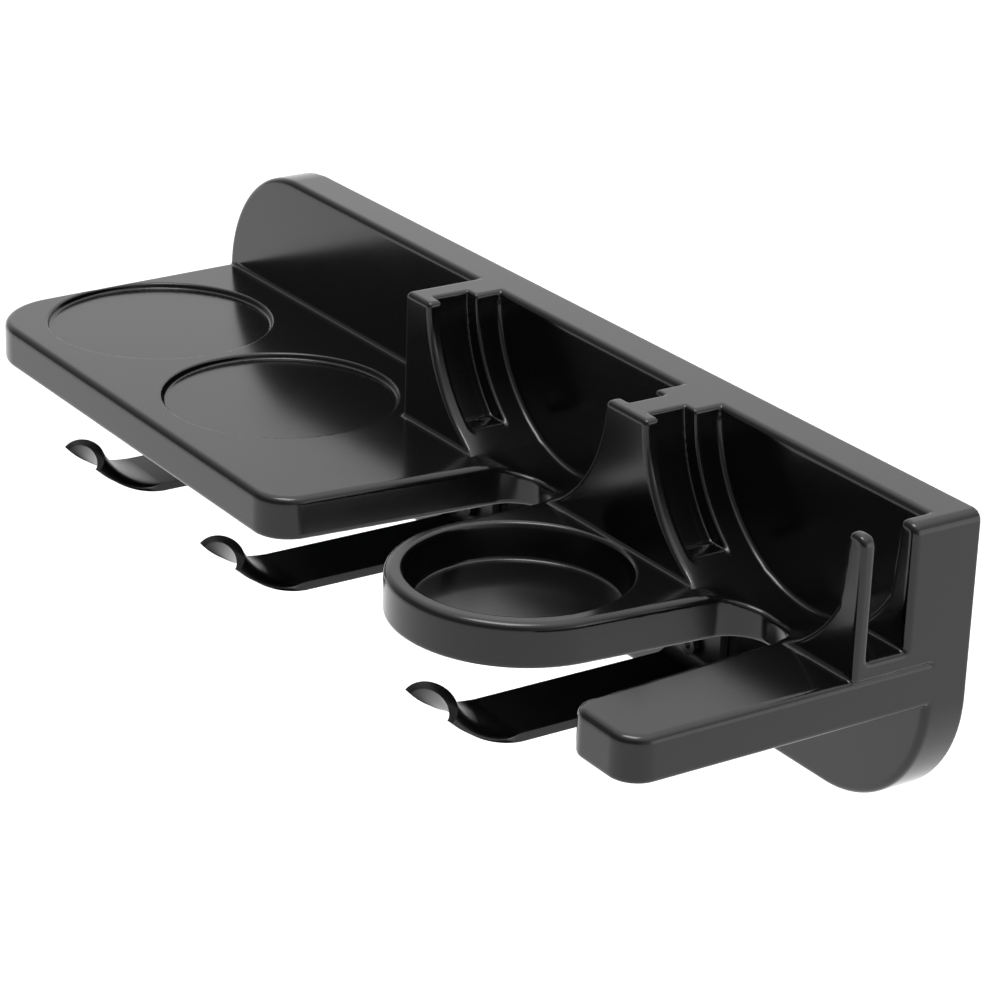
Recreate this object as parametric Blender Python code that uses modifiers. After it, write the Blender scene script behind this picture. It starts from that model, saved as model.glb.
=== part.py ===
"""Salon styling station: a wall-held rest for hot tools, a dryer and bottles.

A hollow moulded body has a shelf with two shallow dishes, an open slot, a ring for a dryer
nozzle, a second open slot and a short arm. Behind the slots a cradle of two half-round
saddles stands in front of the back wall. A flat cover closes the body from below and a
plate with two keyhole hangers closes it from behind. Three strap hooks hang under it.

Lengths are metres. Every piece is drawn in station coordinates: x along the wall from
the left end, y = 0 on the wall and negative towards the user, z = 0 on top of the shelf.
An empty carries those coordinates to the part's origin, the centre of the rear face.
"""

import math

import bmesh
import bpy
from mathutils import Matrix, Vector

MM = 0.001
GAP = 0.3 * MM                      # air left between pieces that touch
END_STEP = 0.05 * MM                # keeps joined blocks' end faces out of one plane

# Driving dimensions
LENGTH = 430 * MM                   # along the wall
WALL_TOP = 46.5 * MM
WALL_BOTTOM = -61 * MM
WALL_THICK = 16 * MM
WALL_TOP_LEFT_RADIUS = 49 * MM
WALL_BOTTOM_RADIUS = 45.5 * MM
WALL_TOP_RIGHT_RADIUS = 3.5 * MM
DECK_THICK = 15.3 * MM
DECK_FRONT = -127.5 * MM
DECK_LEFT = 0.5 * MM                # the shelf starts just inside the wall's left end
SKIN = 3 * MM                       # general moulded wall thickness
DECK_SKIN = 6.2 * MM                # skin over the hollow, enough for a dish in it

SHELF_RIGHT = 234.3 * MM            # where the shelf's right side meets the first slot's end
SHELF_TAPER = 8.3 * MM              # how far that side leans left on its way to the front
SHELF_LEFT_TAPER = 4.2 * MM
SHELF_LEFT_RADIUS = 28 * MM
SHELF_RIGHT_RADIUS = 14 * MM
SLOT_END = -31 * MM                 # rear ends of both slots
SLOT_RADII = (12.5 * MM, 20 * MM)   # left and right rear corner of each slot
HOLLOW_SLOT_RADII = (8 * MM, 12 * MM)   # the wall is thicker round the right corners
RING_CENTRE = Vector((310.5 * MM, -85 * MM))
RING_RADIUS = 43.5 * MM
RING_ARM_RIGHT = 359.5 * MM
RING_ARM_TAPER = 9.3 * MM
ARM_LEFT = 393 * MM
ARM_TAPER = 6.2 * MM
ARM_LEFT_RADIUS = 8 * MM
ARM_RIGHT_RADIUS = 10 * MM

CUP_CENTRE = Vector((310 * MM, -84.8 * MM))
CUP_RADIUS = 37.3 * MM
CUP_DEPTH = 12.5 * MM
DISH_RADIUS = 42.5 * MM
DISH_DEPTH = 2.2 * MM
DISH_CENTRES = ((47.5 * MM, -73 * MM), (138.5 * MM, -73 * MM))

RIB_LEFT = 177.4 * MM               # left face of the cradle
RIB_FRONT = -45.5 * MM
RIB_FOOT = -0.2 * MM                # the cradle is sunk this far into the shelf
SADDLE_XS = (245.7 * MM, 373.9 * MM)
SADDLE_Z = 48 * MM
SADDLE_RADIUS = 53 * MM
GROOVE_RADIUS = 58.5 * MM
GROOVE_FRONT = -40 * MM
GROOVE_BACK = -26 * MM
GROOVE_FLOOR = 5.5 * MM
END_SLOT_LEFT = 400 * MM
END_LIP = 7.4 * MM                  # the right saddle's lip at the end is this thick on top
END_LIP_FOOT = Vector((419.8 * MM, 20 * MM))

HOOK_XS = (80 * MM, 184 * MM, 319 * MM)
HOOK_WIDTH = 28 * MM
HOOK_THICK = 3.2 * MM
HOOK_UNDERSIDE = -49.1 * MM
HOOK_TOP = -16 * MM
HOOK_BEND_START = -97 * MM
HOOK_BEND_RADIUS = 39 * MM          # outer face of the front bend
HOOK_BEND_ANGLE = math.radians(45.5)
HOOK_REAR_RADIUS = 6 * MM
HOOK_LIP_RISE = 6.5 * MM            # how far the middle of the lip arches up
HOOK_LIP_ONSET = 1.4                # above 1, the arch grows faster near the lip
HOOK_SCREW_ZS = (-24 * MM, -38 * MM)

COVER_THICK = 3 * MM
COVER_ARM_END = -46.6 * MM          # the hollow stops short of the cup
COVER_SCREWS = ((18, -32), (120, -30), (214, -32), (30, -104), (122, -117),
                (210, -110), (311, -31), (413, -108), (413, -32))
BACK_SCREWS = ((45, 36), (160, 36), (260, 36), (418, 36),
               (60, -49), (168, -51), (272, -50), (370, -48))

HANGER_XS = (107.5 * MM, 322.5 * MM)
HANGER_Z = -26 * MM
HANGER_SIZE = Vector((44 * MM, 26 * MM))
HANGER_THICK = 1.5 * MM
HANGER_CORNER = 3 * MM
HANGER_SCREW_OFFSET = 16 * MM
KEYHOLE_RADIUS = 4.8 * MM           # lets a wall screw's head in
KEYHOLE_DROP = 4 * MM               # below the hanger's middle
KEYSLOT_RADIUS = 2.5 * MM
KEYSLOT_RISE = 9 * MM
WINDOW_MARGIN = 1.5 * MM            # the back plate's opening round a keyhole

SCREW_SHANK = 1.4 * MM
SCREW_HEAD = 3 * MM
SCREW_HEAD_HIGH = 1.2 * MM
SCREW_SINK = 0.2 * MM               # head lies this far below the face
RECESS_SHARE = 0.42                 # driver recess against the head's radius
COVER_SCREW_LENGTH = 4.6 * MM       # under the head, without the point
BACK_SCREW_LENGTH = 8 * MM
HOOK_SHANK = 1.7 * MM
HOOK_SCREW_LENGTH = 9 * MM
HOOK_HEAD = 3.6 * MM
HOOK_HEAD_HIGH = 2.2 * MM
INSERT_RADIUS = 2.8 * MM
BOSS_RADIUS = 4.2 * MM
INSERT_BOSS_RADIUS = 5.2 * MM
INSERT_DEPTH = 6.5 * MM

ARC_STEP = math.radians(9)          # facets of rounded corners
LARGE_FACETS = 72                   # round the saddles, dishes and cup
POST_FACETS = 12                    # round posts and screw seats
KEYHOLE_FACETS = 24
CORE_FACETS = 10                    # up a rib core's curved side
HOOK_ACROSS = 10                    # strips across a hook
HOOK_REAR_STEPS = 4                 # and along its two bends
HOOK_BEND_STEPS = 9
PILOT_FACETS = 10                   # round screws and their holes


# ---------------------------------------------------------------- scene helpers

def clear_scene():
    for item in list(bpy.data.objects):
        bpy.data.objects.remove(item, do_unlink=True)


def new_collection(name):
    collection = bpy.data.collections.new(name)
    bpy.context.scene.collection.children.link(collection)
    return collection


def material(name, colour, roughness, metallic=0.0):
    made = bpy.data.materials.new(name)
    made.use_nodes = True
    shader = made.node_tree.nodes["Principled BSDF"]
    shader.inputs["Base Color"].default_value = (*colour, 1)
    shader.inputs["Roughness"].default_value = roughness
    shader.inputs["Metallic"].default_value = metallic
    return made


def mesh_object(name, mesh):
    made = bpy.data.objects.new(name, mesh)
    tools.objects.link(made)
    made.parent = station
    return made


def as_tool(item):
    item.hide_render = True
    item.display_type = 'WIRE'
    return item


def as_part(item, finish):
    """Move a finished object from the tools to the parts and give it its material."""
    tools.objects.unlink(item)
    parts.objects.link(item)
    item.data.materials.clear()
    item.data.materials.append(finish)
    item.data.shade_smooth()
    item.data.set_sharp_from_angle(angle=math.radians(30))
    return item


def boolean(target, others, operation):
    for other in others:
        step = target.modifiers.new(operation.title(), 'BOOLEAN')
        step.operation = operation
        step.solver = 'EXACT'
        step.object = as_tool(other)


def cut(target, others):
    boolean(target, others, 'DIFFERENCE')


def join(target, others):
    boolean(target, others, 'UNION')


def boolean_together(target, others, operation):
    """One Boolean with many tools that don't touch each other, such as a row of holes."""
    group = bpy.data.collections.new(f"{target.name}_{others[0].name}")
    tools.children.link(group)
    for other in others:
        tools.objects.unlink(other)
        group.objects.link(as_tool(other))
    step = target.modifiers.new(operation.title(), 'BOOLEAN')
    step.operation = operation
    step.solver = 'EXACT'
    step.operand_type = 'COLLECTION'
    step.collection = group


# ---------------------------------------------------------------- outlines

def corner_geometry(before, corner, after):
    """Unit directions into and out of a corner and its signed turning angle."""
    into = (corner - before).normalized()
    out = (after - corner).normalized()
    turn = math.atan2(into.x * out.y - into.y * out.x, into.dot(out))
    return into, out, turn


def rounded(corners):
    """Points of a closed outline whose corners (x, y, radius) are turned into arcs."""
    points = []
    count = len(corners)
    for i, (x, y, radius) in enumerate(corners):
        corner = Vector((x, y))
        before = Vector(corners[i - 1][:2])
        after = Vector(corners[(i + 1) % count][:2])
        into, out, turn = corner_geometry(before, corner, after)
        if radius < 0.5 * MM:
            points.append(corner)
            continue
        side = math.copysign(1, turn)
        start = corner - into * radius * math.tan(abs(turn) / 2)
        centre = start + Vector((-into.y, into.x)) * side * radius
        steps = max(2, math.ceil(abs(turn) / ARC_STEP))
        for k in range(steps + 1):
            arm = (start - centre)
            arm.rotate(Matrix.Rotation(turn * k / steps, 2))
            points.append(centre + arm)
    return points


def inset(corners, distance):
    """The same outline (drawn counter-clockwise) moved inwards by a distance."""
    moved = []
    count = len(corners)
    for i, (x, y, radius) in enumerate(corners):
        corner = Vector((x, y))
        into, out, turn = corner_geometry(Vector(corners[i - 1][:2]), corner,
                                          Vector(corners[(i + 1) % count][:2]))
        inward = Vector((-into.y, into.x)) + Vector((-out.y, out.x))
        shift = inward * distance / (1 + math.cos(turn))
        new_radius = radius - distance if turn > 0 else radius + distance
        moved.append((*(corner + shift), max(new_radius, 0) if radius else 0))
    return moved


def deck_corners(rear, ring_front, ring_radius, slot_radii):
    """Counter-clockwise corners of the shelf, the ring's arm and the right arm from above."""
    slope = RING_ARM_TAPER / (SLOT_END - RING_CENTRE.y + RING_RADIUS)
    ring_right = RING_ARM_RIGHT + slope * (ring_front - SLOT_END)
    ring_left = RING_CENTRE.x - RING_RADIUS
    slot_left, slot_right = slot_radii
    return [
        (DECK_LEFT, rear, 0),
        (SHELF_LEFT_TAPER, DECK_FRONT, SHELF_LEFT_RADIUS),
        (SHELF_RIGHT - SHELF_TAPER, DECK_FRONT, SHELF_RIGHT_RADIUS),
        (SHELF_RIGHT, SLOT_END, slot_left),
        (ring_left, SLOT_END, slot_right),
        (ring_left, ring_front, ring_radius),
        (ring_right, ring_front, ring_radius),
        (RING_ARM_RIGHT, SLOT_END, slot_left),
        (ARM_LEFT, SLOT_END, slot_right),
        (ARM_LEFT + ARM_TAPER, DECK_FRONT, ARM_LEFT_RADIUS),
        (LENGTH - END_STEP, DECK_FRONT, ARM_RIGHT_RADIUS),
        (LENGTH - END_STEP, rear, 0),
    ]


def wall_corners():
    """Counter-clockwise corners (x, z) of the back wall, seen from the front."""
    return [
        (0, WALL_BOTTOM, WALL_BOTTOM_RADIUS),
        (LENGTH, WALL_BOTTOM, WALL_BOTTOM_RADIUS),
        (LENGTH, WALL_TOP, 0),
        (0, WALL_TOP, WALL_TOP_LEFT_RADIUS),
    ]


def hollow_corners(extra):
    """The deck's hollow, or with extra the cover that fills its mouth with a gap."""
    return inset(deck_corners(-WALL_THICK, COVER_ARM_END, 0, HOLLOW_SLOT_RADII), SKIN + extra)


# ---------------------------------------------------------------- solids

def finish_mesh(shape, mesh):
    """Write a bmesh out with its points on a 0.1 micron grid, so flush faces are exactly flush."""
    for vertex in shape.verts:
        vertex.co = [round(value, 7) for value in vertex.co]
    shape.to_mesh(mesh)
    shape.free()


def plate(name, points, low, high, upright=False):
    """A flat outline given thickness from low to high, along z or, upright, along y."""
    curve = bpy.data.curves.new(name, 'CURVE')
    curve.dimensions = '2D'
    curve.fill_mode = 'BOTH'
    curve.extrude = (high - low) / 2
    spline = curve.splines.new('POLY')
    spline.points.add(len(points) - 1)
    for place, point in zip(spline.points, points):
        place.co = (point[0], point[1], 0, 1)
    spline.use_cyclic_u = True
    holder = bpy.data.objects.new(name, curve)
    tools.objects.link(holder)
    bpy.context.view_layer.update()
    seen = holder.evaluated_get(bpy.context.evaluated_depsgraph_get())
    mesh = bpy.data.meshes.new_from_object(seen)
    bpy.data.objects.remove(holder)
    middle = (low + high) / 2
    placing = Matrix.Translation((0, 0, middle))
    if upright:
        placing = Matrix.Translation((0, middle, 0)) @ Matrix.Rotation(math.pi / 2, 4, 'X')
    shape = bmesh.new()
    shape.from_mesh(mesh)
    bmesh.ops.remove_doubles(shape, verts=shape.verts, dist=0.001 * MM)
    bmesh.ops.dissolve_limit(shape, angle_limit=math.radians(0.1), verts=shape.verts,
                             edges=shape.edges)
    bmesh.ops.transform(shape, matrix=placing, verts=shape.verts)
    bmesh.ops.recalc_face_normals(shape, faces=shape.faces)
    finish_mesh(shape, mesh)
    return mesh_object(name, mesh)


def box(name, low, high):
    low = Vector(low)
    high = Vector(high)
    mesh = bpy.data.meshes.new(name)
    shape = bmesh.new()
    bmesh.ops.create_cube(shape, size=1)
    bmesh.ops.scale(shape, vec=high - low, verts=shape.verts)
    bmesh.ops.translate(shape, vec=(low + high) / 2, verts=shape.verts)
    finish_mesh(shape, mesh)
    return mesh_object(name, mesh)


def rod(name, start, end, radius, segments=POST_FACETS):
    """A cylinder between two points."""
    start = Vector(start)
    end = Vector(end)
    along = end - start
    placing = Matrix.Translation((start + end) / 2) @ along.to_track_quat('Z', 'Y').to_matrix().to_4x4()
    mesh = bpy.data.meshes.new(name)
    shape = bmesh.new()
    bmesh.ops.create_cone(shape, cap_ends=True, segments=segments, radius1=radius,
                          radius2=radius, depth=along.length, matrix=placing)
    finish_mesh(shape, mesh)
    return mesh_object(name, mesh)


def turned(name, profile, steps=PILOT_FACETS):
    """A solid of revolution about local z; the profile (radius, height) runs down."""
    mesh = bpy.data.meshes.new(name)
    count = len(profile)
    closed = profile[0][0] > 0
    edges = [(i, (i + 1) % count) for i in range(count if closed else count - 1)]
    mesh.from_pydata([(radius, 0, height) for radius, height in profile], edges, [])
    made = mesh_object(name, mesh)
    spin = made.modifiers.new("Turn", 'SCREW')
    spin.steps = steps
    spin.render_steps = steps
    spin.use_merge_vertices = True
    spin.merge_threshold = 0.01 * MM
    return made


# ---------------------------------------------------------------- body shell

def saddle(index, radius, front, back, floor=None):
    """A half-round cutter along y at a saddle's axis, flat-bottomed at floor if given."""
    x = SADDLE_XS[index]
    cutter = rod(f"saddle_cut_{index}_{round(radius / MM)}", (x, front, SADDLE_Z),
                 (x, back, SADDLE_Z), radius, LARGE_FACETS)
    if floor is not None:
        reach = radius + 5 * MM
        below = box(f"saddle_floor_{index}", (x - reach, front - MM, SADDLE_Z - reach),
                    (x + reach, back + MM, floor))
        cut(cutter, [below])
    return cutter


def end_lip():
    """What the right saddle leaves standing at the end, so its lip isn't too thin on top."""
    top = WALL_TOP + 5 * MM
    lean = (LENGTH - END_LIP - END_LIP_FOOT.x) / (WALL_TOP - END_LIP_FOOT.y)
    outline = [END_LIP_FOOT, Vector((LENGTH, END_LIP_FOOT.y)), Vector((LENGTH, top)),
               Vector((END_LIP_FOOT.x + lean * (top - END_LIP_FOOT.y), top))]
    return plate("end_lip", outline, RIB_FRONT - 2 * MM, 0, upright=True)


def rib_core(name, left_saddle, right_saddle):
    """The hollow behind a rib: it follows the grooves' walls one skin away."""
    low = SKIN
    high = WALL_TOP - SKIN
    radius = GROOVE_RADIUS + SKIN
    steps = CORE_FACETS
    heights = [low + (high - low) * k / steps for k in range(steps + 1)]
    reach = [math.sqrt(radius ** 2 - (SADDLE_Z - z) ** 2) for z in heights]
    right = [(SADDLE_XS[right_saddle] - r, z) for r, z in zip(reach, heights)]
    if left_saddle is None:
        left = [(RIB_LEFT + SKIN, high), (RIB_LEFT + SKIN, low)]
    else:
        left = [(SADDLE_XS[left_saddle] + r, z) for r, z in zip(reach, heights)][::-1]
    return plate(name, right + left, RIB_FRONT + SKIN, -WALL_THICK + SKIN + MM, upright=True)


def top_corner_cut():
    """What rounds the top right corner: a square bar less a quarter round."""
    x = LENGTH - WALL_TOP_RIGHT_RADIUS
    z = WALL_TOP - WALL_TOP_RIGHT_RADIUS
    bar = box("top_corner_bar", (x, RIB_FRONT - MM, z), (LENGTH + MM, MM, WALL_TOP + MM))
    cut(bar, [rod("top_corner_round", (x, RIB_FRONT - 2 * MM, z), (x, 2 * MM, z),
                  WALL_TOP_RIGHT_RADIUS - END_STEP, LARGE_FACETS)])
    return bar


def shell_blocks():
    """The solid outer form, before anything is cut from it."""
    wall = plate("body_shell", rounded(wall_corners()), -WALL_THICK, 0, upright=True)
    ring_front = RING_CENTRE.y - RING_RADIUS
    outline = rounded(deck_corners(-WALL_THICK / 2, ring_front, RING_RADIUS, SLOT_RADII))
    deck = plate("deck_block", outline, -DECK_THICK, 0)
    cradle = box("cradle_block", (RIB_LEFT, RIB_FRONT, RIB_FOOT),
                 (LENGTH - 2 * END_STEP, -WALL_THICK / 2, WALL_TOP - END_STEP))
    join(wall, [deck, cradle])
    cut(wall, [top_corner_cut()])
    return wall


def tool_rests():
    """Saddles, grooves, dishes and the cup: the spaces that the tools rest in."""
    lead = 1 * MM
    cutters = [saddle(i, SADDLE_RADIUS, RIB_FRONT - lead, -WALL_THICK) for i in range(2)]
    cut(cutters[1], [end_lip()])
    cutters += [saddle(i, GROOVE_RADIUS, GROOVE_FRONT, GROOVE_BACK, GROOVE_FLOOR) for i in range(2)]
    cutters.append(box("end_slot_cut", (END_SLOT_LEFT, GROOVE_FRONT, GROOVE_FLOOR),
                       (LENGTH + 5 * MM, GROOVE_BACK, WALL_TOP + 5 * MM)))
    for i, (x, y) in enumerate(DISH_CENTRES):
        cutters.append(rod(f"dish_cut_{i}", (x, y, -DISH_DEPTH), (x, y, DISH_DEPTH),
                           DISH_RADIUS, LARGE_FACETS))
    cutters.append(rod("cup_cut", (*CUP_CENTRE, -CUP_DEPTH), (*CUP_CENTRE, CUP_DEPTH),
                       CUP_RADIUS, LARGE_FACETS))
    return cutters


def hollows():
    """What the mould's cores leave open at the rear and from below."""
    wall = plate("wall_hollow", rounded(inset(wall_corners(), SKIN)), -WALL_THICK + SKIN,
                 5 * MM, upright=True)
    deck = plate("deck_hollow", rounded(hollow_corners(0)), -DECK_THICK - 5 * MM, -DECK_SKIN)
    return [wall, rib_core("rib_core_left", None, 0), rib_core("rib_core_right", 0, 1), deck]


def cover_screw_places():
    return [Vector((x * MM, y * MM, -DECK_THICK)) for x, y in COVER_SCREWS]


def back_screw_places():
    return [Vector((x * MM, 0, z * MM)) for x, z in BACK_SCREWS]


def hook_screw_places():
    return [Vector((x, -WALL_THICK, z)) for x in HOOK_XS for z in HOOK_SCREW_ZS]


def bosses():
    """Posts for the cover's, the plate's and the hooks' screws, and the holes in them."""
    posts = []
    holes = []
    pilot = SCREW_SHANK + GAP
    up = Vector((0, 0, 1))
    forward = Vector((0, -1, 0))
    for i, place in enumerate(cover_screw_places()):
        foot = place + up * (COVER_THICK + GAP)
        roof = place + up * (DECK_THICK - DECK_SKIN + MM)
        posts.append(rod(f"cover_post_{i}", foot, roof, BOSS_RADIUS))
        holes.append(rod(f"cover_pilot_{i}", foot - up * MM, roof - up * 2 * MM, pilot, PILOT_FACETS))
    for i, place in enumerate(back_screw_places()):
        foot = place + forward * (COVER_THICK + GAP)
        root = place + forward * (WALL_THICK - SKIN + MM)
        posts.append(rod(f"back_post_{i}", foot, root, BOSS_RADIUS))
        holes.append(rod(f"back_pilot_{i}", foot - forward * MM, root - forward * 3 * MM, pilot,
                         PILOT_FACETS))
    for i, place in enumerate(hook_screw_places()):
        root = place - forward * (SKIN - MM)
        tip = place - forward * (INSERT_DEPTH + 2 * MM)
        posts.append(rod(f"insert_post_{i}", root, tip, INSERT_BOSS_RADIUS))
        holes.append(rod(f"insert_hole_{i}", place + forward * MM,
                         place - forward * (INSERT_DEPTH + GAP * 2), INSERT_RADIUS + GAP))
    return posts, holes


def body_shell():
    shell = shell_blocks()
    cut(shell, tool_rests() + hollows())
    posts, holes = bosses()
    boolean_together(shell, posts, 'UNION')
    boolean_together(shell, holes, 'DIFFERENCE')
    return as_part(shell, black_plastic)


# ---------------------------------------------------------------- covers and hangers

def sunk_holes(target, places, outward):
    """Through holes with a sunk seat for each screw head, entered from outside."""
    seats = []
    holes = []
    for i, place in enumerate(places):
        seat = place - outward * (SCREW_SINK + SCREW_HEAD_HIGH + GAP)
        through = place - outward * (COVER_THICK + MM)
        seats.append(rod(f"{target.name}_seat_{i}", seat, place + outward * MM,
                         SCREW_HEAD + GAP))
        holes.append(rod(f"{target.name}_hole_{i}", through, seat + outward * MM,
                         SCREW_SHANK + GAP, PILOT_FACETS))
    boolean_together(target, seats, 'DIFFERENCE')
    boolean_together(target, holes, 'DIFFERENCE')


def underside_cover():
    cover = plate("underside_cover", rounded(hollow_corners(GAP)), -DECK_THICK,
                  -DECK_THICK + COVER_THICK)
    sunk_holes(cover, cover_screw_places(), Vector((0, 0, -1)))
    return as_part(cover, black_plastic)


def hanger_screw_places():
    places = []
    for x in HANGER_XS:
        for side in (-1, 1):
            places.append(Vector((x + side * HANGER_SCREW_OFFSET, 0, HANGER_Z)))
    return places


def back_plate():
    made = plate("back_plate", rounded(inset(wall_corners(), SKIN + GAP)), -COVER_THICK, 0,
                 upright=True)
    sunk_holes(made, back_screw_places() + hanger_screw_places(), Vector((0, 1, 0)))
    half = KEYHOLE_RADIUS + WINDOW_MARGIN
    radius = half - END_STEP
    low = HANGER_Z - half - KEYHOLE_DROP
    high = HANGER_Z + KEYSLOT_RISE
    for i, x in enumerate(HANGER_XS):
        window = rounded([(x - half, low, radius), (x + half, low, radius),
                          (x + half, high, radius), (x - half, high, radius)])
        cut(made, [plate(f"hanger_window_{i}", window, -COVER_THICK - MM, MM, upright=True)])
    return as_part(made, black_plastic)


def keyhole_hanger(name, x):
    """A steel plate with a hole for a screw head and a slot above it for the shank."""
    low = Vector((x, HANGER_Z)) - HANGER_SIZE / 2
    high = Vector((x, HANGER_Z)) + HANGER_SIZE / 2
    corners = [(low.x, low.y, HANGER_CORNER), (high.x, low.y, HANGER_CORNER),
               (high.x, high.y, HANGER_CORNER), (low.x, high.y, HANGER_CORNER)]
    rear = -COVER_THICK - GAP
    front = rear - HANGER_THICK
    hanger = plate(name, rounded(corners), front, rear, upright=True)
    hole_z = HANGER_Z - KEYHOLE_DROP
    slot = box(name + "_slot", (x - KEYSLOT_RADIUS, front - MM, hole_z),
               (x + KEYSLOT_RADIUS, rear + MM, hole_z + KEYSLOT_RISE))
    cutters = [slot]
    for label, z, radius in (("hole", hole_z, KEYHOLE_RADIUS),
                             ("slot_end", hole_z + KEYSLOT_RISE, KEYSLOT_RADIUS)):
        cutters.append(rod(f"{name}_{label}", (x, front - MM, z), (x, rear + MM, z), radius,
                           KEYHOLE_FACETS))
    for side in (-1, 1):
        at = x + side * HANGER_SCREW_OFFSET
        cutters.append(rod(f"{name}_screw_{side}", (at, front - MM, HANGER_Z),
                           (at, rear + MM, HANGER_Z), SCREW_SHANK + GAP, PILOT_FACETS))
    cut(hanger, cutters)
    return as_part(hanger, steel)


# ---------------------------------------------------------------- hooks

def hook_profile():
    """Points (y, z, share of the lip's arch) down the middle of the strap's thickness."""
    half = HOOK_THICK / 2
    back = -WALL_THICK - GAP - half
    floor = HOOK_UNDERSIDE + half
    rear = HOOK_REAR_RADIUS
    points = [(back, HOOK_TOP, 0.0)]
    for k in range(HOOK_REAR_STEPS + 1):
        angle = math.pi / 2 * k / HOOK_REAR_STEPS
        points.append((back - rear * (1 - math.cos(angle)), floor + rear * (1 - math.sin(angle)), 0.0))
    bend = HOOK_BEND_RADIUS - half
    for k in range(HOOK_BEND_STEPS + 1):
        progress = k / HOOK_BEND_STEPS
        angle = HOOK_BEND_ANGLE * progress
        points.append((HOOK_BEND_START - bend * math.sin(angle),
                       floor + bend * (1 - math.cos(angle)), progress ** HOOK_LIP_ONSET))
    return points


def strap_hook(name, x):
    """A flat strap that runs forward under the body and ends in an arched, rising lip."""
    profile = hook_profile()
    across = HOOK_ACROSS
    along = len(profile)
    mesh = bpy.data.meshes.new(name)
    shape = bmesh.new()
    bmesh.ops.create_grid(shape, x_segments=across, y_segments=along - 1, size=0.5)
    for vertex in shape.verts:
        column = round((vertex.co.x + 0.5) * across)
        row = round((vertex.co.y + 0.5) * (along - 1))
        y, z, share = profile[row]
        turn = math.pi * column / across
        rise = HOOK_LIP_RISE * share * math.sin(turn)
        lean = HOOK_BEND_ANGLE * share
        half_width = (HOOK_WIDTH - HOOK_THICK * share) / 2
        vertex.co = (x - half_width * math.cos(turn), y + rise * math.sin(lean),
                     z + rise * math.cos(lean))
    bmesh.ops.recalc_face_normals(shape, faces=shape.faces)
    shape.to_mesh(mesh)
    shape.free()
    hook = mesh_object(name, mesh)
    wrap = hook.modifiers.new("Thickness", 'SOLIDIFY')
    wrap.thickness = HOOK_THICK
    wrap.offset = 0
    wrap.use_even_offset = True
    holes = []
    for i, z in enumerate(HOOK_SCREW_ZS):
        holes.append(rod(f"{name}_hole_{i}", (x, -WALL_THICK - HOOK_THICK - 3 * MM, z),
                         (x, -WALL_THICK + MM, z), HOOK_SHANK + GAP, PILOT_FACETS))
    cut(hook, holes)
    return as_part(hook, black_plastic)


# ---------------------------------------------------------------- fasteners

def screw(name, place, outward, finish, sink, head, head_high, shank, length):
    """A flat-headed screw whose head's outer face lies sink below place along outward."""
    recess = head * RECESS_SHARE
    under = -head_high
    profile = [(0, -recess), (recess, 0), (head, 0), (head, under), (shank, under),
               (shank, under - length), (0, under - length - shank)]
    made = turned(name, profile)
    made.location = place - outward * sink
    made.rotation_euler = outward.to_track_quat('Z', 'Y').to_euler()
    return as_part(made, finish)


def fasteners():
    sunk = (steel, SCREW_SINK, SCREW_HEAD, SCREW_HEAD_HIGH, SCREW_SHANK)
    for i, place in enumerate(cover_screw_places(), 1):
        screw(f"cover_screw_{i}", place, Vector((0, 0, -1)), *sunk, COVER_SCREW_LENGTH)
    for i, place in enumerate(back_screw_places(), 1):
        screw(f"back_plate_screw_{i}", place, Vector((0, 1, 0)), *sunk, BACK_SCREW_LENGTH)
    for i, place in enumerate(hanger_screw_places(), 1):
        screw(f"hanger_screw_{i}", place, Vector((0, 1, 0)), *sunk, COVER_SCREW_LENGTH)
    forward = Vector((0, -1, 0))
    stand_off = HOOK_THICK + GAP * 2 + HOOK_HEAD_HIGH
    for i, place in enumerate(hook_screw_places(), 1):
        screw(f"hook_screw_{i}", place, forward, black_steel, -stand_off, HOOK_HEAD,
              HOOK_HEAD_HIGH, HOOK_SHANK, HOOK_SCREW_LENGTH)


def threaded_inserts():
    inner = HOOK_SHANK + GAP
    low = -INSERT_DEPTH
    profile = [(inner, -GAP), (INSERT_RADIUS, -GAP), (INSERT_RADIUS, low), (inner, low)]
    for i, place in enumerate(hook_screw_places(), 1):
        insert = turned(f"threaded_insert_{i}", profile)
        insert.location = place
        insert.rotation_euler = Vector((0, -1, 0)).to_track_quat('Z', 'Y').to_euler()
        as_part(insert, brass)


# ---------------------------------------------------------------- assembly

clear_scene()
parts = new_collection("salon_styling_station")
tools = new_collection("cutters")
station = bpy.data.objects.new("station_origin", None)
station.location = (-LENGTH / 2, 0, -(WALL_TOP + WALL_BOTTOM) / 2)
parts.objects.link(station)

black_plastic = material("black_plastic", (0.012, 0.012, 0.013), 0.32)
steel = material("steel", (0.55, 0.55, 0.56), 0.3, 1.0)
black_steel = material("black_steel", (0.02, 0.02, 0.02), 0.4)
brass = material("brass", (0.75, 0.55, 0.25), 0.3, 1.0)

body_shell()
underside_cover()
back_plate()
for side, hanger_x in zip(("left", "right"), HANGER_XS):
    keyhole_hanger(f"keyhole_hanger_{side}", hanger_x)
for side, hook_x in zip(("left", "middle", "right"), HOOK_XS):
    strap_hook(f"hook_{side}", hook_x)
fasteners()
threaded_inserts()
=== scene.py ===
"""Looks of the salon styling station: a black moulded rest for hot tools, a dryer and bottles.

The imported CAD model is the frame. The body and the three hooks are rebuilt here with their
rounded edges, fillets and draft, each in the place of its CAD node. The covers, hangers,
screws and inserts keep their solids and get their materials here.

Shapes are drawn in station millimetres: x along the wall from the left end, y = 0 on the
wall and negative towards the user, z = 0 on top of the shelf.
"""

import math

import bmesh
import bpy
import numpy as np
import openvdb
from mathutils import Matrix, Vector


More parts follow.
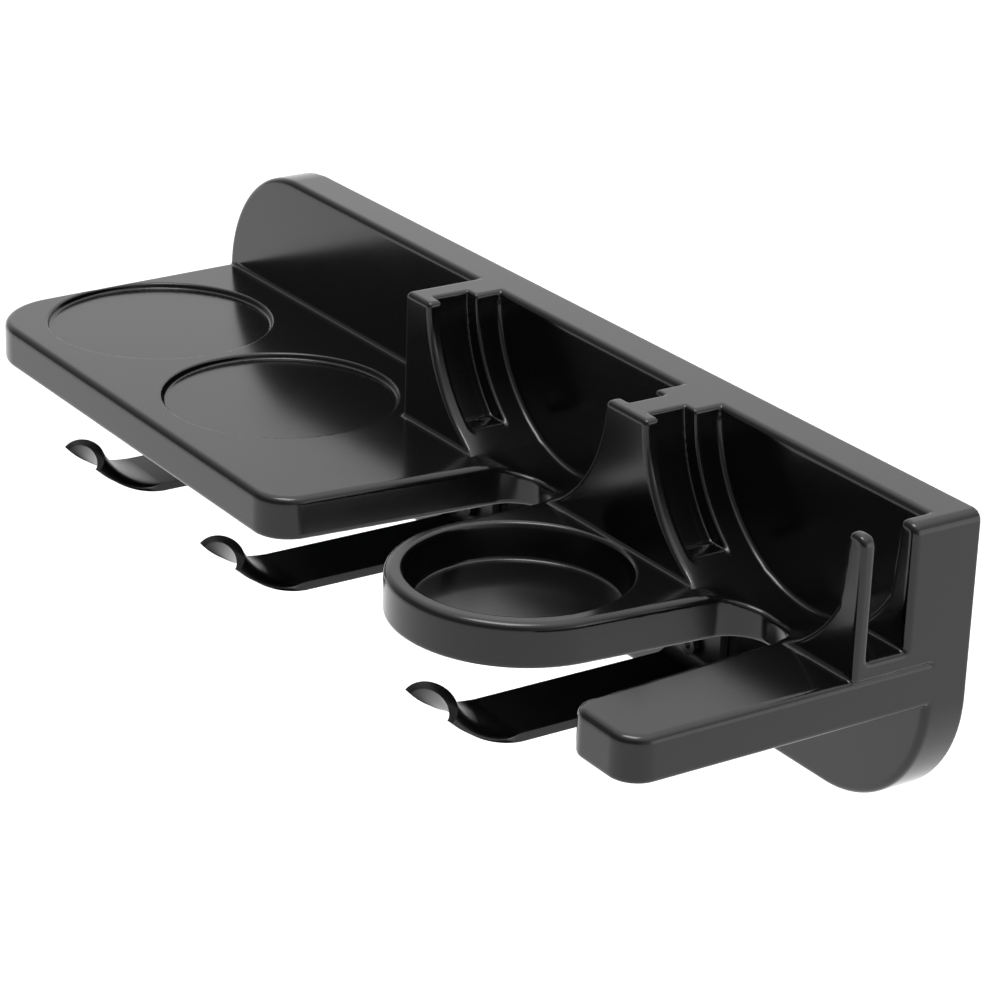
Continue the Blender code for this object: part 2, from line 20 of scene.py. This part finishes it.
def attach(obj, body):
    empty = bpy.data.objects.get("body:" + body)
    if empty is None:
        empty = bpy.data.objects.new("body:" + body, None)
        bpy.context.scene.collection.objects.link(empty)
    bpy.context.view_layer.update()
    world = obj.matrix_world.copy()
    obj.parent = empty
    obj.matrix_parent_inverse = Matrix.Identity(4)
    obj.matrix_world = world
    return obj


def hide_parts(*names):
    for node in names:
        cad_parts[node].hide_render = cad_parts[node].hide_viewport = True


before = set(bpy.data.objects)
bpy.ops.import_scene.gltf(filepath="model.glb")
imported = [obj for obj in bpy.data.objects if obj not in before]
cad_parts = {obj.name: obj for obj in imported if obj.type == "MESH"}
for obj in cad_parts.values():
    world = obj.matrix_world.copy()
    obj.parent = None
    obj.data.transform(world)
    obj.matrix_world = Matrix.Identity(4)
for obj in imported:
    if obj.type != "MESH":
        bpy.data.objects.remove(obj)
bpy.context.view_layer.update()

MM = 0.001
ORIGIN = Vector((-0.215, 0, 0.00725))      # station zero in the model's frame

# ---------------------------------------------------------------- dimensions, mm

LENGTH = 430
WALL_TOP, WALL_BOTTOM, WALL_THICK = 46.5, -61, 16
WALL_TOP_LEFT_RADIUS, WALL_BOTTOM_RADIUS, WALL_TOP_RIGHT_RADIUS = 49, 45.5, 3.5
DECK_THICK, DECK_FRONT, DECK_LEFT = 15.3, -127.5, 0.5
SKIN, DECK_SKIN = 3, 6.2
SHELF_RIGHT, SHELF_TAPER, SHELF_LEFT_TAPER = 234.3, 8.3, 4.2
SHELF_LEFT_RADIUS, SHELF_RIGHT_RADIUS = 28, 14
SLOT_END, SLOT_RADII, HOLLOW_SLOT_RADII = -31, (12.5, 20), (8, 12)   # left and right corners
RING_CENTRE, RING_RADIUS = (310.5, -85), 43.5
RING_ARM_RIGHT, RING_ARM_TAPER = 359.5, 9.3
ARM_LEFT, ARM_TAPER, ARM_LEFT_RADIUS, ARM_RIGHT_RADIUS = 393, 6.2, 8, 10
CUP_CENTRE, CUP_RADIUS, CUP_DEPTH = (310, -84.8), 37.3, 12.5
DISH_CENTRES, DISH_RADIUS, DISH_DEPTH = ((47.5, -73), (138.5, -73)), 42.5, 2.2
RIB_LEFT, RIB_FRONT, RIB_FOOT = 177.4, -45.5, -0.2
SADDLE_XS, SADDLE_Z, SADDLE_RADIUS = (245.7, 373.9), 48, 53
GROOVE_RADIUS, GROOVE_FRONT, GROOVE_BACK, GROOVE_FLOOR = 58.5, -40, -26, 5.5
END_SLOT_LEFT = 400
END_LIP_TOP, END_LIP_FOOT = (422.6, 46.5), (419.8, 20)
COVER_ARM_END, GAP = -46.6, 0.3

# Rounded edges and fillets, mm
DECK_EDGE, DECK_UNDER_EDGE = 2.6, 1.6
WALL_EDGE, WALL_REAR_EDGE = 2.4, 0.8
RIB_EDGE = 1.8
SADDLE_EDGE, SADDLE_EDGE_LEAST = 1.6, 0.03          # the least is a share of the full radius
SADDLE_EDGE_FULL_Z = 3                      # above this height the saddles' edge is at its full radius
SADDLE_LEAD, RAMP_FRONT, RAMP_BACK = 2, -50, -31
GROOVE_EDGE, GROOVE_CORNER, GROOVE_FILLET = 1.1, 0.4, 0.8
END_EDGE, END_EDGE_FROM, END_EDGE_GROWTH = 2.3, 400, 1.5
DISH_EDGE, DISH_FILLET = 0.7, 0.8
CUP_EDGE, CUP_FILLET, CUP_DRAFT = 1.1, 0.9, 2.5
HOLLOW_EDGE, HOLLOW_OVERLAP = 0.5, 1
FILLET, FILLET_GROWTH = 1.6, 0.6            # a fillet grows from nothing beside a flush face
WALL_FLUSH, DECK_FLUSH = 2, 1               # and starts this far inside it
SHARP = 0.05                                # a smaller radius is taken as none

HOOK_XS, HOOK_WIDTH, HOOK_THICK = (80, 184, 319), 28, 3.2
HOOK_UNDERSIDE, HOOK_TOP = -49.1, -16
HOOK_BEND_START, HOOK_BEND_RADIUS, HOOK_BEND_ANGLE = -97, 39, math.radians(45.5)
HOOK_REAR_RADIUS = 6
HOOK_LIP_RISE, HOOK_LIP_ONSET = 6.5, 1.4
HOOK_ACROSS, HOOK_REAR_STEPS, HOOK_BEND_STEPS = 40, 10, 28
HOOK_EDGE, HOOK_EDGE_STEPS, HOOK_EDGE_ANGLE = 0.5, 3, math.radians(50)
HOOK_SHARP_ANGLE = math.radians(40)

# The body's grid, mm, and what becomes of its mesh
VOXEL = 0.8
BAND = 3 * VOXEL                            # distances are kept this far from the surface
BODY_LOW, BODY_HIGH = (-3, -131, -64), (433, 3, 50)
MOST_TRIANGLES = 190_000
SETTLING_STEPS = 2
SLOPE_REACH = 0.5                           # in voxels, as are the two below
LARGE_FROM, LARGE_MOVE, LARGE_SHARE = 1.1, 2.0, 0.7     # large triangles read normals inside
ARC_STEP = math.radians(2)
TINY = 1e-9


# ---------------------------------------------------------------- outlines

def deck_corners(rear, ring_front, ring_radius, slot_radii):
    """Counter-clockwise corners (x, y, radius) of the shelf, the ring's arm and the right arm."""
    slope = RING_ARM_TAPER / (SLOT_END - RING_CENTRE[1] + RING_RADIUS)
    ring_right = RING_ARM_RIGHT + slope * (ring_front - SLOT_END)
    ring_left = RING_CENTRE[0] - RING_RADIUS
    slot_left, slot_right = slot_radii
    return [
        (DECK_LEFT, rear, 0),
        (SHELF_LEFT_TAPER, DECK_FRONT, SHELF_LEFT_RADIUS),
        (SHELF_RIGHT - SHELF_TAPER, DECK_FRONT, SHELF_RIGHT_RADIUS),
        (SHELF_RIGHT, SLOT_END, slot_left),
        (ring_left, SLOT_END, slot_right),
        (ring_left, ring_front, ring_radius),
        (ring_right, ring_front, ring_radius),
        (RING_ARM_RIGHT, SLOT_END, slot_left),
        (ARM_LEFT, SLOT_END, slot_right),
        (ARM_LEFT + ARM_TAPER, DECK_FRONT, ARM_LEFT_RADIUS),
        (LENGTH, DECK_FRONT, ARM_RIGHT_RADIUS),
        (LENGTH, rear, 0),
    ]


def wall_corners():
    """Counter-clockwise corners (x, z, radius) of the back wall, seen from the front."""
    return [
        (0, WALL_BOTTOM, WALL_BOTTOM_RADIUS),
        (LENGTH, WALL_BOTTOM, WALL_BOTTOM_RADIUS),
        (LENGTH, WALL_TOP, WALL_TOP_RIGHT_RADIUS),
        (0, WALL_TOP, WALL_TOP_LEFT_RADIUS),
    ]


class Outline:
    """Signed distance, negative inside, to a closed outline of straight lines and arcs."""

    def __init__(self, corners):
        self.arcs = []
        self.points = []
        ends = []
        count = len(corners)
        for i, (x, y, radius) in enumerate(corners):
            corner = Vector((x, y))
            into = (corner - Vector(corners[i - 1][:2])).normalized()
            out = (Vector(corners[(i + 1) % count][:2]) - corner).normalized()
            turn = math.atan2(into.x * out.y - into.y * out.x, into.dot(out))
            if radius <= 0:
                ends.append((corner, corner))
                self.points.append(corner)
                continue
            reach = radius * math.tan(abs(turn) / 2)
            start = corner - into * reach
            centre = start + Vector((-into.y, into.x)) * math.copysign(radius, turn)
            ends.append((start, corner + out * reach))
            self.arcs.append((centre, radius, (corner - centre).normalized(), abs(turn) / 2))
            steps = max(2, math.ceil(abs(turn) / ARC_STEP))
            for k in range(steps + 1):
                arm = start - centre
                arm.rotate(Matrix.Rotation(turn * k / steps, 2))
                self.points.append(centre + arm)
        self.lines = [(ends[i - 1][1], ends[i][0]) for i in range(count)]

    def distance(self, x, y):
        nearest = np.float32(np.inf)
        for start, end in self.lines:
            along = end - start
            dx, dy = x - start.x, y - start.y
            share = np.clip((dx * along.x + dy * along.y) / max(along.length_squared, TINY), 0, 1)
            nearest = np.minimum(nearest, np.hypot(dx - along.x * share, dy - along.y * share))
        for centre, radius, middle, half in self.arcs:
            dx, dy = x - centre.x, y - centre.y
            far = np.hypot(dx, dy)
            within = dx * middle.x + dy * middle.y >= far * math.cos(half)
            nearest = np.where(within, np.minimum(nearest, np.abs(far - radius)), nearest)
        inside = np.zeros(nearest.shape, bool)
        before = self.points[-1]
        for point in self.points:
            if point.y != before.y:
                crosses = (point.y > y) != (before.y > y)
                slope = (before.x - point.x) / (before.y - point.y)
                inside ^= crosses & (x < point.x + slope * (y - point.y))
            before = point
        return np.where(inside, -nearest, nearest).astype(np.float32)


# ---------------------------------------------------------------- rounded solids as fields

def both(a, b, radius):
    """What is inside a and b, its edge rounded."""
    u = np.maximum(radius + a, 0)
    v = np.maximum(radius + b, 0)
    return np.minimum(-radius, np.maximum(a, b)) + np.sqrt(u * u + v * v)


def either(a, b, radius):
    """What is inside a or b, the corner between them filleted."""
    u = np.maximum(radius - a, 0)
    v = np.maximum(radius - b, 0)
    filleted = np.maximum(radius, np.minimum(a, b)) - np.sqrt(u * u + v * v)
    return np.where(radius > SHARP, filleted, np.minimum(a, b))


def without(a, b, radius):
    """a less b, its edge rounded."""
    return both(a, -b, radius)


def cradle_field(x, y, z):
    """The block behind the slots; its top and right faces are the wall's own."""
    side = x - LENGTH
    top = z - WALL_TOP
    end = both(side, top, WALL_TOP_RIGHT_RADIUS)
    front = both(RIB_LEFT - x, RIB_FRONT - y, RIB_EDGE)
    return np.maximum(np.maximum(both(front, end, RIB_EDGE), y + WALL_THICK / 2), RIB_FOOT - z)


def groove_field(x, y, z, over_saddles):
    """The upright slots that follow the saddles, and the one open at the right end."""
    band = np.abs(y - (GROOVE_FRONT + GROOVE_BACK) / 2) - (GROOVE_BACK - GROOVE_FRONT) / 2
    slots = np.minimum(np.minimum(*over_saddles), END_SLOT_LEFT - x)
    return both(both(slots, band, GROOVE_CORNER), GROOVE_FLOOR - z, GROOVE_FILLET)


def ramp_share(y):
    """0 in front of the saddles, 1 behind, smooth between."""
    share = np.clip((y - RAMP_FRONT) / (RAMP_BACK - RAMP_FRONT), 0, 1)
    return share * share * (3 - 2 * share)


def saddle_field(x, y, z, centre, end_lip):
    """A half-round rest; where it dips below the shelf's top it ramps up to the front."""
    across = np.maximum(SADDLE_RADIUS ** 2 - (x - centre) ** 2, 0)
    dip = np.minimum(SADDLE_Z - np.sqrt(across), 0)
    lifted = z + dip * (1 - ramp_share(y))
    rest = np.hypot(x - centre, lifted - SADDLE_Z) - SADDLE_RADIUS
    if end_lip:
        lean = (END_LIP_TOP[0] - END_LIP_FOOT[0]) / (END_LIP_TOP[1] - END_LIP_FOOT[1])
        flat = (x - END_LIP_FOOT[0] - lean * (z - END_LIP_FOOT[1])) / math.hypot(1, lean)
        rest = np.maximum(rest, flat)
    return np.maximum(rest, RAMP_FRONT - SADDLE_LEAD - y)


def body_field(x, y, z):
    """The whole moulding: negative inside it, with every edge and fillet."""
    wall_outline = Outline(wall_corners()).distance(x, z)
    deck_outline = Outline(deck_corners(-WALL_THICK / 2, RING_CENTRE[1] - RING_RADIUS, RING_RADIUS,
                                        SLOT_RADII)).distance(x, y)
    wall = both(both(wall_outline, -WALL_THICK - y, WALL_EDGE), y, WALL_REAR_EDGE)
    deck = both(both(deck_outline, z, DECK_EDGE), -DECK_THICK - z, DECK_UNDER_EDGE)
    inside_ends = np.clip((-wall_outline - WALL_FLUSH) * FILLET_GROWTH, 0, FILLET)
    inside_deck = np.clip((-deck_outline - DECK_FLUSH) * FILLET_GROWTH, 0, inside_ends)
    lower = either(deck, np.maximum(cradle_field(x, y, z), deck_outline), inside_deck)
    reach = [np.hypot(x - sx, z - SADDLE_Z) for sx in SADDLE_XS]
    edge_share = np.maximum(ramp_share(y), z / SADDLE_EDGE_FULL_Z)
    edge = SADDLE_EDGE * np.clip(edge_share, SADDLE_EDGE_LEAST, 1)
    for centre, end_lip in zip(SADDLE_XS, (False, True)):
        lower = without(lower, saddle_field(x, y, z, centre, end_lip), edge)
    grooves = groove_field(x, y, z, [far - GROOVE_RADIUS for far in reach])
    end_share = (x - END_EDGE_FROM) / (LENGTH - END_EDGE_FROM)
    towards_end = np.clip(end_share * END_EDGE_GROWTH, 0, 1)
    lower = without(lower, grooves, GROOVE_EDGE + (END_EDGE - GROOVE_EDGE) * towards_end)
    for cx, cy in DISH_CENTRES:
        dish = both(np.hypot(x - cx, y - cy) - DISH_RADIUS, -DISH_DEPTH - z, DISH_FILLET)
        lower = without(lower, dish, DISH_EDGE)
    drafted = CUP_RADIUS + np.minimum(z, 0) * (CUP_DRAFT / CUP_DEPTH)
    cup = both(np.hypot(x - CUP_CENTRE[0], y - CUP_CENTRE[1]) - drafted, -CUP_DEPTH - z, CUP_FILLET)
    lower = without(lower, cup, CUP_EDGE)
    body = either(wall, lower, inside_ends)
    return hollowed(body, x, y, z, wall_outline, reach)


def hollowed(body, x, y, z, wall_outline, reach):
    """The body, opened from behind and below, where the back plate and the cover go."""
    from_below = Outline(deck_corners(-WALL_THICK, COVER_ARM_END, 0,
                                      HOLLOW_SLOT_RADII)).distance(x, y)
    deck_hollow = np.maximum(from_below + SKIN, z + DECK_SKIN)
    wall_hollow = np.maximum(wall_outline + SKIN, SKIN - WALL_THICK - y)
    upright = np.maximum(np.maximum(SKIN - z, z + SKIN - WALL_TOP), RIB_FRONT + SKIN - y)
    upright = np.maximum(np.maximum(upright, y + WALL_THICK - SKIN - HOLLOW_OVERLAP),
                         RIB_LEFT + SKIN - x)
    clear = GROOVE_RADIUS + SKIN
    ribs = np.maximum(np.maximum(clear - reach[0], clear - reach[1]), x - SADDLE_XS[1])
    ribs = np.maximum(upright, ribs)
    hollow = np.minimum(np.minimum(deck_hollow, wall_hollow), ribs)
    return without(body, hollow, HOLLOW_EDGE)


# ---------------------------------------------------------------- fields to meshes

def sample(values, places):
    """Trilinear reading of a grid at places in grid steps."""
    low = np.clip(np.floor(places).astype(int), 0, np.array(values.shape[:3]) - 2)
    share = (places - low).astype(np.float32)
    total = 0
    for corner in range(8):
        step = np.array([corner & 1, corner >> 1 & 1, corner >> 2 & 1])
        weight = np.prod(np.where(step, share, 1 - share), axis=1)
        spot = low + step
        total = total + weight * values[spot[:, 0], spot[:, 1], spot[:, 2]]
    return total


def slope_at(values, places):
    """Unit outward direction of a field at places."""
    slopes = []
    for axis in range(3):
        step = np.zeros(3)
        step[axis] = SLOPE_REACH
        slopes.append(sample(values, places + step) - sample(values, places - step))
    slopes = np.stack(slopes, axis=1)
    return slopes / np.maximum(np.linalg.norm(slopes, axis=1, keepdims=True), TINY)


def to_model(points):
    """Station millimetres to the model's metres."""
    return (np.asarray(points) * MM + np.array(ORIGIN)).astype(np.float32)


def to_station(points):
    """The model's metres to station millimetres."""
    return (points - np.array(ORIGIN)) / MM


def mesh_of_quads(name, points, quads):
    """A mesh from points in station millimetres and rows of four point numbers."""
    mesh = bpy.data.meshes.new(name)
    mesh.vertices.add(len(points))
    mesh.vertices.foreach_set("co", to_model(points).ravel())
    mesh.loops.add(quads.size)
    mesh.loops.foreach_set("vertex_index", quads.ravel().astype(np.int32))
    mesh.polygons.add(len(quads))
    mesh.polygons.foreach_set("loop_start", np.arange(0, quads.size, quads.shape[1]))
    mesh.update(calc_edges=True)
    mesh.validate()
    return mesh


def linked(name, mesh):
    made = bpy.data.objects.new(name, mesh)
    bpy.context.scene.collection.objects.link(made)
    return made


def baked(item):
    """A new mesh of the object with its modifiers applied."""
    return bpy.data.meshes.new_from_object(
        item.evaluated_get(bpy.context.evaluated_depsgraph_get()))


def settled(values, places):
    """Places in grid steps, moved onto the field's surface."""
    for _ in range(SETTLING_STEPS):
        places = places - slope_at(values, places) * sample(values, places)[:, None] / VOXEL
    return places


def corner_normals(values, places, triangles):
    """A normal for each triangle's corners, read a little inside the large triangles."""
    corners = places[triangles]
    inwards = corners.mean(axis=1, keepdims=True) - corners
    length = np.linalg.norm(inwards, axis=2, keepdims=True)
    move = np.clip((length - LARGE_FROM) * LARGE_SHARE, 0, LARGE_MOVE)
    spots = corners + inwards * (move / np.maximum(length, TINY))
    return slope_at(values, spots.reshape(-1, 3))


def fewer_triangles(name, mesh, quad_count):
    """The mesh as triangles, thinned out where it is flattest."""
    dense = linked(name, mesh)
    fewer = dense.modifiers.new("Fewer", 'DECIMATE')
    fewer.ratio = min(1, MOST_TRIANGLES / (2 * quad_count))
    dense.modifiers.new("Triangles", 'TRIANGULATE')
    thinned = baked(dense)
    bpy.data.objects.remove(dense)
    bpy.data.meshes.remove(mesh)
    thinned.name = name
    return thinned


def field_object(name, field, low, high):
    """A smooth closed mesh of where a field is negative, with normals from the field."""
    low = np.array(low, float)
    counts = np.ceil((np.array(high) - low) / VOXEL).astype(int) + 1
    axes = [(low[i] + VOXEL * np.arange(counts[i])).astype(np.float32) for i in range(3)]
    values = field(axes[0][:, None, None], axes[1][None, :, None], axes[2][None, None, :])
    values = np.clip(values, -BAND, BAND).astype(np.float32)
    grid = openvdb.FloatGrid()
    grid.background = BAND
    grid.copyFromArray(values)
    grid.gridClass = openvdb.GridClass.LEVEL_SET
    places, quads = grid.convertToQuads(isovalue=0.0)
    places = settled(values, places.astype(np.float64))
    dense = mesh_of_quads(name, places * VOXEL + low, quads[:, ::-1])
    mesh = fewer_triangles(name, dense, len(quads))

    flat = np.empty(len(mesh.vertices) * 3, np.float32)
    mesh.vertices.foreach_get("co", flat)
    places = settled(values, (to_station(flat.reshape(-1, 3)) - low) / VOXEL)
    mesh.vertices.foreach_set("co", to_model(places * VOXEL + low).ravel())
    mesh.update()
    triangles = np.empty(len(mesh.loops), np.int32)
    mesh.loops.foreach_get("vertex_index", triangles)
    mesh.shade_smooth()
    mesh.normals_split_custom_set(corner_normals(values, places, triangles.reshape(-1, 3)))
    return linked(name, mesh)


# ---------------------------------------------------------------- hooks

def hook_profile():
    """Points (y, z, share of the lip's arch) down the middle of the strap's thickness."""
    half = HOOK_THICK / 2
    back = -WALL_THICK - GAP - half
    floor = HOOK_UNDERSIDE + half
    rear = HOOK_REAR_RADIUS
    points = [(back, HOOK_TOP, 0.0)]
    for k in range(HOOK_REAR_STEPS + 1):
        angle = math.pi / 2 * k / HOOK_REAR_STEPS
        points.append((back - rear * (1 - math.cos(angle)), floor + rear * (1 - math.sin(angle)), 0))
    bend = HOOK_BEND_RADIUS - half
    for k in range(HOOK_BEND_STEPS + 1):
        progress = k / HOOK_BEND_STEPS
        angle = HOOK_BEND_ANGLE * progress
        points.append((HOOK_BEND_START - bend * math.sin(angle),
                       floor + bend * (1 - math.cos(angle)), progress ** HOOK_LIP_ONSET))
    return points


def strap_points(x):
    """Rows of points across the middle of the strap's thickness, and how many to a row."""
    points = []
    turns = [math.pi * k / HOOK_ACROSS for k in range(HOOK_ACROSS + 1)]
    for y, z, share in hook_profile():
        lean = HOOK_BEND_ANGLE * share
        half_width = (HOOK_WIDTH - HOOK_THICK * share) / 2
        for turn in turns:
            rise = HOOK_LIP_RISE * share * math.sin(turn)
            points.append((x - half_width * math.cos(turn), y + rise * math.sin(lean),
                           z + rise * math.cos(lean)))
    return points, len(turns)


def strap_hook(node, x, look):
    """A flat strap with an arched, rising lip, thickened and with rounded edges."""
    points, row = strap_points(x)
    corner = np.add.outer(np.arange(len(points) // row - 1) * row, np.arange(row - 1)).ravel()
    quads = np.stack([corner, corner + 1, corner + row + 1, corner + row], axis=1)
    strap = linked("looks_" + node, mesh_of_quads(node, points, quads))
    wrap = strap.modifiers.new("Thickness", 'SOLIDIFY')
    wrap.thickness = HOOK_THICK * MM
    wrap.offset = 0
    wrap.use_even_offset = True
    edges = strap.modifiers.new("Edges", 'BEVEL')
    edges.width = HOOK_EDGE * MM
    edges.segments = HOOK_EDGE_STEPS
    edges.limit_method = 'ANGLE'
    edges.angle_limit = HOOK_EDGE_ANGLE
    solid = baked(strap)
    strap.modifiers.clear()
    strap.data = solid
    solid.materials.append(look)
    solid.shade_smooth()
    solid.set_sharp_from_angle(angle=HOOK_SHARP_ANGLE)
    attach(strap, "root")
    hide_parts(node)


# ---------------------------------------------------------------- materials

GRAIN_DETAIL, GRAIN_STRENGTH = 2, 0.12
FLOW_SCALE, FLOW_DETAIL = 18, 3
BLACK = (0.0014, 0.0014, 0.0015)


def noise_node(nodes, links, place, scale, detail):
    noise = nodes.new('ShaderNodeTexNoise')
    noise.inputs["Scale"].default_value = scale
    noise.inputs["Detail"].default_value = detail
    links.new(place, noise.inputs["Vector"])
    return noise


def grained(name, colour, rough, grain, depth, ior=1.5, metallic=0, stretch=(1, 1, 1)):
    """A surface with a fine grain of some scale and depth, and a roughness that drifts over it."""
    made = bpy.data.materials.new(name)
    made.use_nodes = True
    nodes, links = made.node_tree.nodes, made.node_tree.links
    shader = nodes["Principled BSDF"]
    shader.inputs["Base Color"].default_value = (*colour, 1)
    shader.inputs["Metallic"].default_value = metallic
    shader.inputs["IOR"].default_value = ior
    place = nodes.new('ShaderNodeTexCoord')
    stretched = nodes.new('ShaderNodeMapping')
    stretched.inputs["Scale"].default_value = stretch
    links.new(place.outputs["Object"], stretched.inputs["Vector"])
    fine = noise_node(nodes, links, stretched.outputs["Vector"], grain, GRAIN_DETAIL)
    bump = nodes.new('ShaderNodeBump')
    bump.inputs["Strength"].default_value = GRAIN_STRENGTH
    bump.inputs["Distance"].default_value = depth
    links.new(fine.outputs["Fac"], bump.inputs["Height"])
    links.new(bump.outputs["Normal"], shader.inputs["Normal"])
    flow = noise_node(nodes, links, place.outputs["Object"], FLOW_SCALE, FLOW_DETAIL)
    ramp = nodes.new('ShaderNodeMapRange')
    ramp.inputs["To Min"].default_value, ramp.inputs["To Max"].default_value = rough
    links.new(flow.outputs["Fac"], ramp.inputs["Value"])
    links.new(ramp.outputs["Result"], shader.inputs["Roughness"])
    return made


def pale_floor():
    made = bpy.data.materials.new("pale_floor")
    made.use_nodes = True
    shader = made.node_tree.nodes["Principled BSDF"]
    shader.inputs["Base Color"].default_value = (0.9, 0.9, 0.9, 1)
    shader.inputs["Roughness"].default_value = 0.9
    shader.inputs["Specular IOR Level"].default_value = 0
    return made


moulded_plastic = grained("moulded_plastic", BLACK, (0.13, 0.21), 1900, 0.00005, ior=1.43)
hook_plastic = grained("hook_plastic", BLACK, (0.26, 0.36), 1900, 0.00003, ior=1.36)
zinc = grained("zinc_plated_steel", (0.5, 0.51, 0.53), (0.22, 0.4), 900, 0.00004,
               metallic=1, stretch=(1, 1, 6))
black_coat = grained("black_coated_steel", (0.004, 0.004, 0.004), (0.3, 0.45), 1400, 0.00003,
                     ior=1.45)
brass = grained("turned_brass", (0.7, 0.5, 0.2), (0.2, 0.35), 1200, 0.00003,
                metallic=1, stretch=(1, 8, 1))

# ---------------------------------------------------------------- pieces

body = field_object("station_body", body_field, BODY_LOW, BODY_HIGH)
body.data.materials.append(moulded_plastic)
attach(body, "root")
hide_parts("body_shell")
for side, hook_x in zip(("left", "middle", "right"), HOOK_XS):
    strap_hook("hook_" + side, hook_x, hook_plastic)

# The names of the solids that stay begin like this; back_plate_screw comes after back_plate.
LOOKS = {"underside_cover": moulded_plastic, "back_plate": moulded_plastic,
         "back_plate_screw": zinc, "cover_screw": zinc, "hanger_screw": zinc,
         "keyhole_hanger": zinc, "hook_screw": black_coat, "threaded_insert": brass}
for node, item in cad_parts.items():
    for start, look in LOOKS.items():
        if node.startswith(start):
            item.material_slots[0].material = look

# ---------------------------------------------------------------- stage, camera and light

FLOOR_Z, FLOOR_HALF = -0.30, 12

AZIMUTH, ELEVATION, ROLL = math.radians(57.7), math.radians(22.0), math.radians(1.26)
CAMERA_PLACE = Vector((0.9206, -0.6588, 0.44715))
SENSOR_WIDTH, LENS = 36, 123.32
LENS_SHIFT = (0.117, -0.0347)
SIGHT = 60

SKY_FRONT, SKY_REAR, SKY_TOP = 0.35, 1.25, 1.3      # how brightly the studio shines
SKY_DEPTHS, SKY_HEIGHTS = (-0.5, 0.3), (0.6, 0.95)  # the directions between which it changes


def add_floor():
    mesh = bpy.data.meshes.new("floor")
    shape = bmesh.new()
    bmesh.ops.create_grid(shape, x_segments=1, y_segments=1, size=FLOOR_HALF)
    shape.to_mesh(mesh)
    shape.free()
    floor = linked("floor", mesh)
    floor.location = (0, 0, FLOOR_Z)
    mesh.materials.append(pale_floor())


def add_camera():
    """The camera, with its axes worked out from its direction and its roll."""
    flat = math.cos(ELEVATION)
    back = Vector((math.sin(AZIMUTH) * flat, -math.cos(AZIMUTH) * flat, math.sin(ELEVATION)))
    right = Vector((math.cos(AZIMUTH), math.sin(AZIMUTH), 0))
    up = back.cross(right)
    turned_right = math.cos(ROLL) * right + math.sin(ROLL) * up
    turned_up = -math.sin(ROLL) * right + math.cos(ROLL) * up
    data = bpy.data.cameras.new("camera")
    data.sensor_width, data.lens = SENSOR_WIDTH, LENS
    data.shift_x, data.shift_y = LENS_SHIFT
    data.clip_end = SIGHT
    camera = linked("camera", data)
    turn = Matrix((turned_right, turned_up, back)).transposed().to_4x4()
    camera.matrix_world = Matrix.Translation(CAMERA_PLACE) @ turn
    bpy.context.scene.camera = camera


def add_sky():
    """A studio that is bright behind and overhead and dimmer in front of the station."""
    world = bpy.data.worlds.new("studio")
    world.use_nodes = True
    nodes, links = world.node_tree.nodes, world.node_tree.links
    towards = nodes.new('ShaderNodeTexCoord')
    axes = nodes.new('ShaderNodeSeparateXYZ')
    links.new(towards.outputs["Generated"], axes.inputs["Vector"])
    total = nodes.new('ShaderNodeMath')
    for i, (axis, span, shine) in enumerate((("Y", SKY_DEPTHS, (SKY_FRONT, SKY_REAR)),
                                             ("Z", SKY_HEIGHTS, (0, SKY_TOP)))):
        ramp = nodes.new('ShaderNodeMapRange')
        links.new(axes.outputs[axis], ramp.inputs["Value"])
        ramp.inputs["From Min"].default_value, ramp.inputs["From Max"].default_value = span
        ramp.inputs["To Min"].default_value, ramp.inputs["To Max"].default_value = shine
        links.new(ramp.outputs["Result"], total.inputs[i])
    links.new(total.outputs["Value"], nodes["Background"].inputs["Strength"])
    nodes["Background"].inputs["Color"].default_value = (1, 1, 1, 1)
    bpy.context.scene.world = world
    bpy.context.scene.view_settings.view_transform = 'Standard'


def softbox(name, place, target, width, height, radiance):
    """A rectangular lamp whose face shines with one radiance."""
    lamp = bpy.data.lights.new(name, 'AREA')
    lamp.shape = 'RECTANGLE'
    lamp.size, lamp.size_y = width, height
    lamp.energy = radiance * math.pi * width * height
    holder = linked(name, lamp)
    holder.location = place
    holder.rotation_euler = (Vector(target) - Vector(place)).to_track_quat('-Z', 'Y').to_euler()


add_floor()
add_camera()
add_sky()
softbox("overhead", (0.05, -0.25, 1.3), (0, -0.06, 0), 0.7, 0.5, 9)
softbox("right_rear", (1.5, 0.9, 0.1), (0.2, -0.06, 0), 1.4, 1.2, 1.3)
